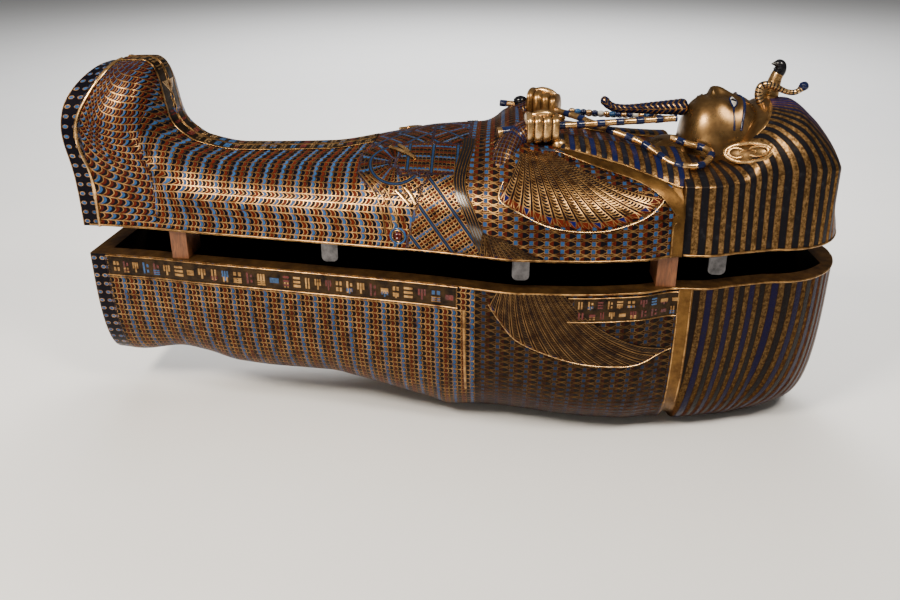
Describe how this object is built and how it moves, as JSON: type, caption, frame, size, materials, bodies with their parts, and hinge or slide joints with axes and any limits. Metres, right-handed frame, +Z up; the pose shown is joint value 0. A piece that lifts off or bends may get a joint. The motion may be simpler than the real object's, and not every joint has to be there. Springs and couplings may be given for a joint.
{
  "type": "anthropoid coffin",
  "caption": "Gilded and inlaid wooden coffin in the form of a mummy, lying on its back, its lid propped on small blocks above the hollow trough.",
  "frame": {"origin": "middle of the coffin's length and width, on the plane its underside rests on", "axes": "+X to the head, -X to the feet, +Y to the figure's right side, +Z up"},
  "size_m": [2.0399, 0.68, 0.9834],
  "materials": {
    "gilded_inlay": "wood under gold sheet and coloured glass inlay, worn satin",
    "sceptre_metal": "gold with dark blue bands, glossy",
    "beard_inlay": "dark inlay with gold plait lines, satin",
    "tongue_silver": "dull silver sheet",
    "block_wood": "plain oiled wood"
  },
  "bodies": {
    "root": {"trough": "gilded_inlay", "lid": "gilded_inlay", "crook": "sceptre_metal", "flail": "sceptre_metal", "beard": "beard_inlay", "brow_vulture": "sceptre_metal", "brow_cobra": "sceptre_metal", "tongue_near_foot": "tongue_silver", "tongue_near_arm": "tongue_silver", "tongue_near_head": "tongue_silver", "tongue_far_foot": "tongue_silver", "tongue_far_arm": "tongue_silver", "tongue_far_head": "tongue_silver", "block_near_leg": "block_wood", "block_near_head": "block_wood", "block_far_leg": "block_wood", "block_far_head": "block_wood"}
  },
  "joints": []
}
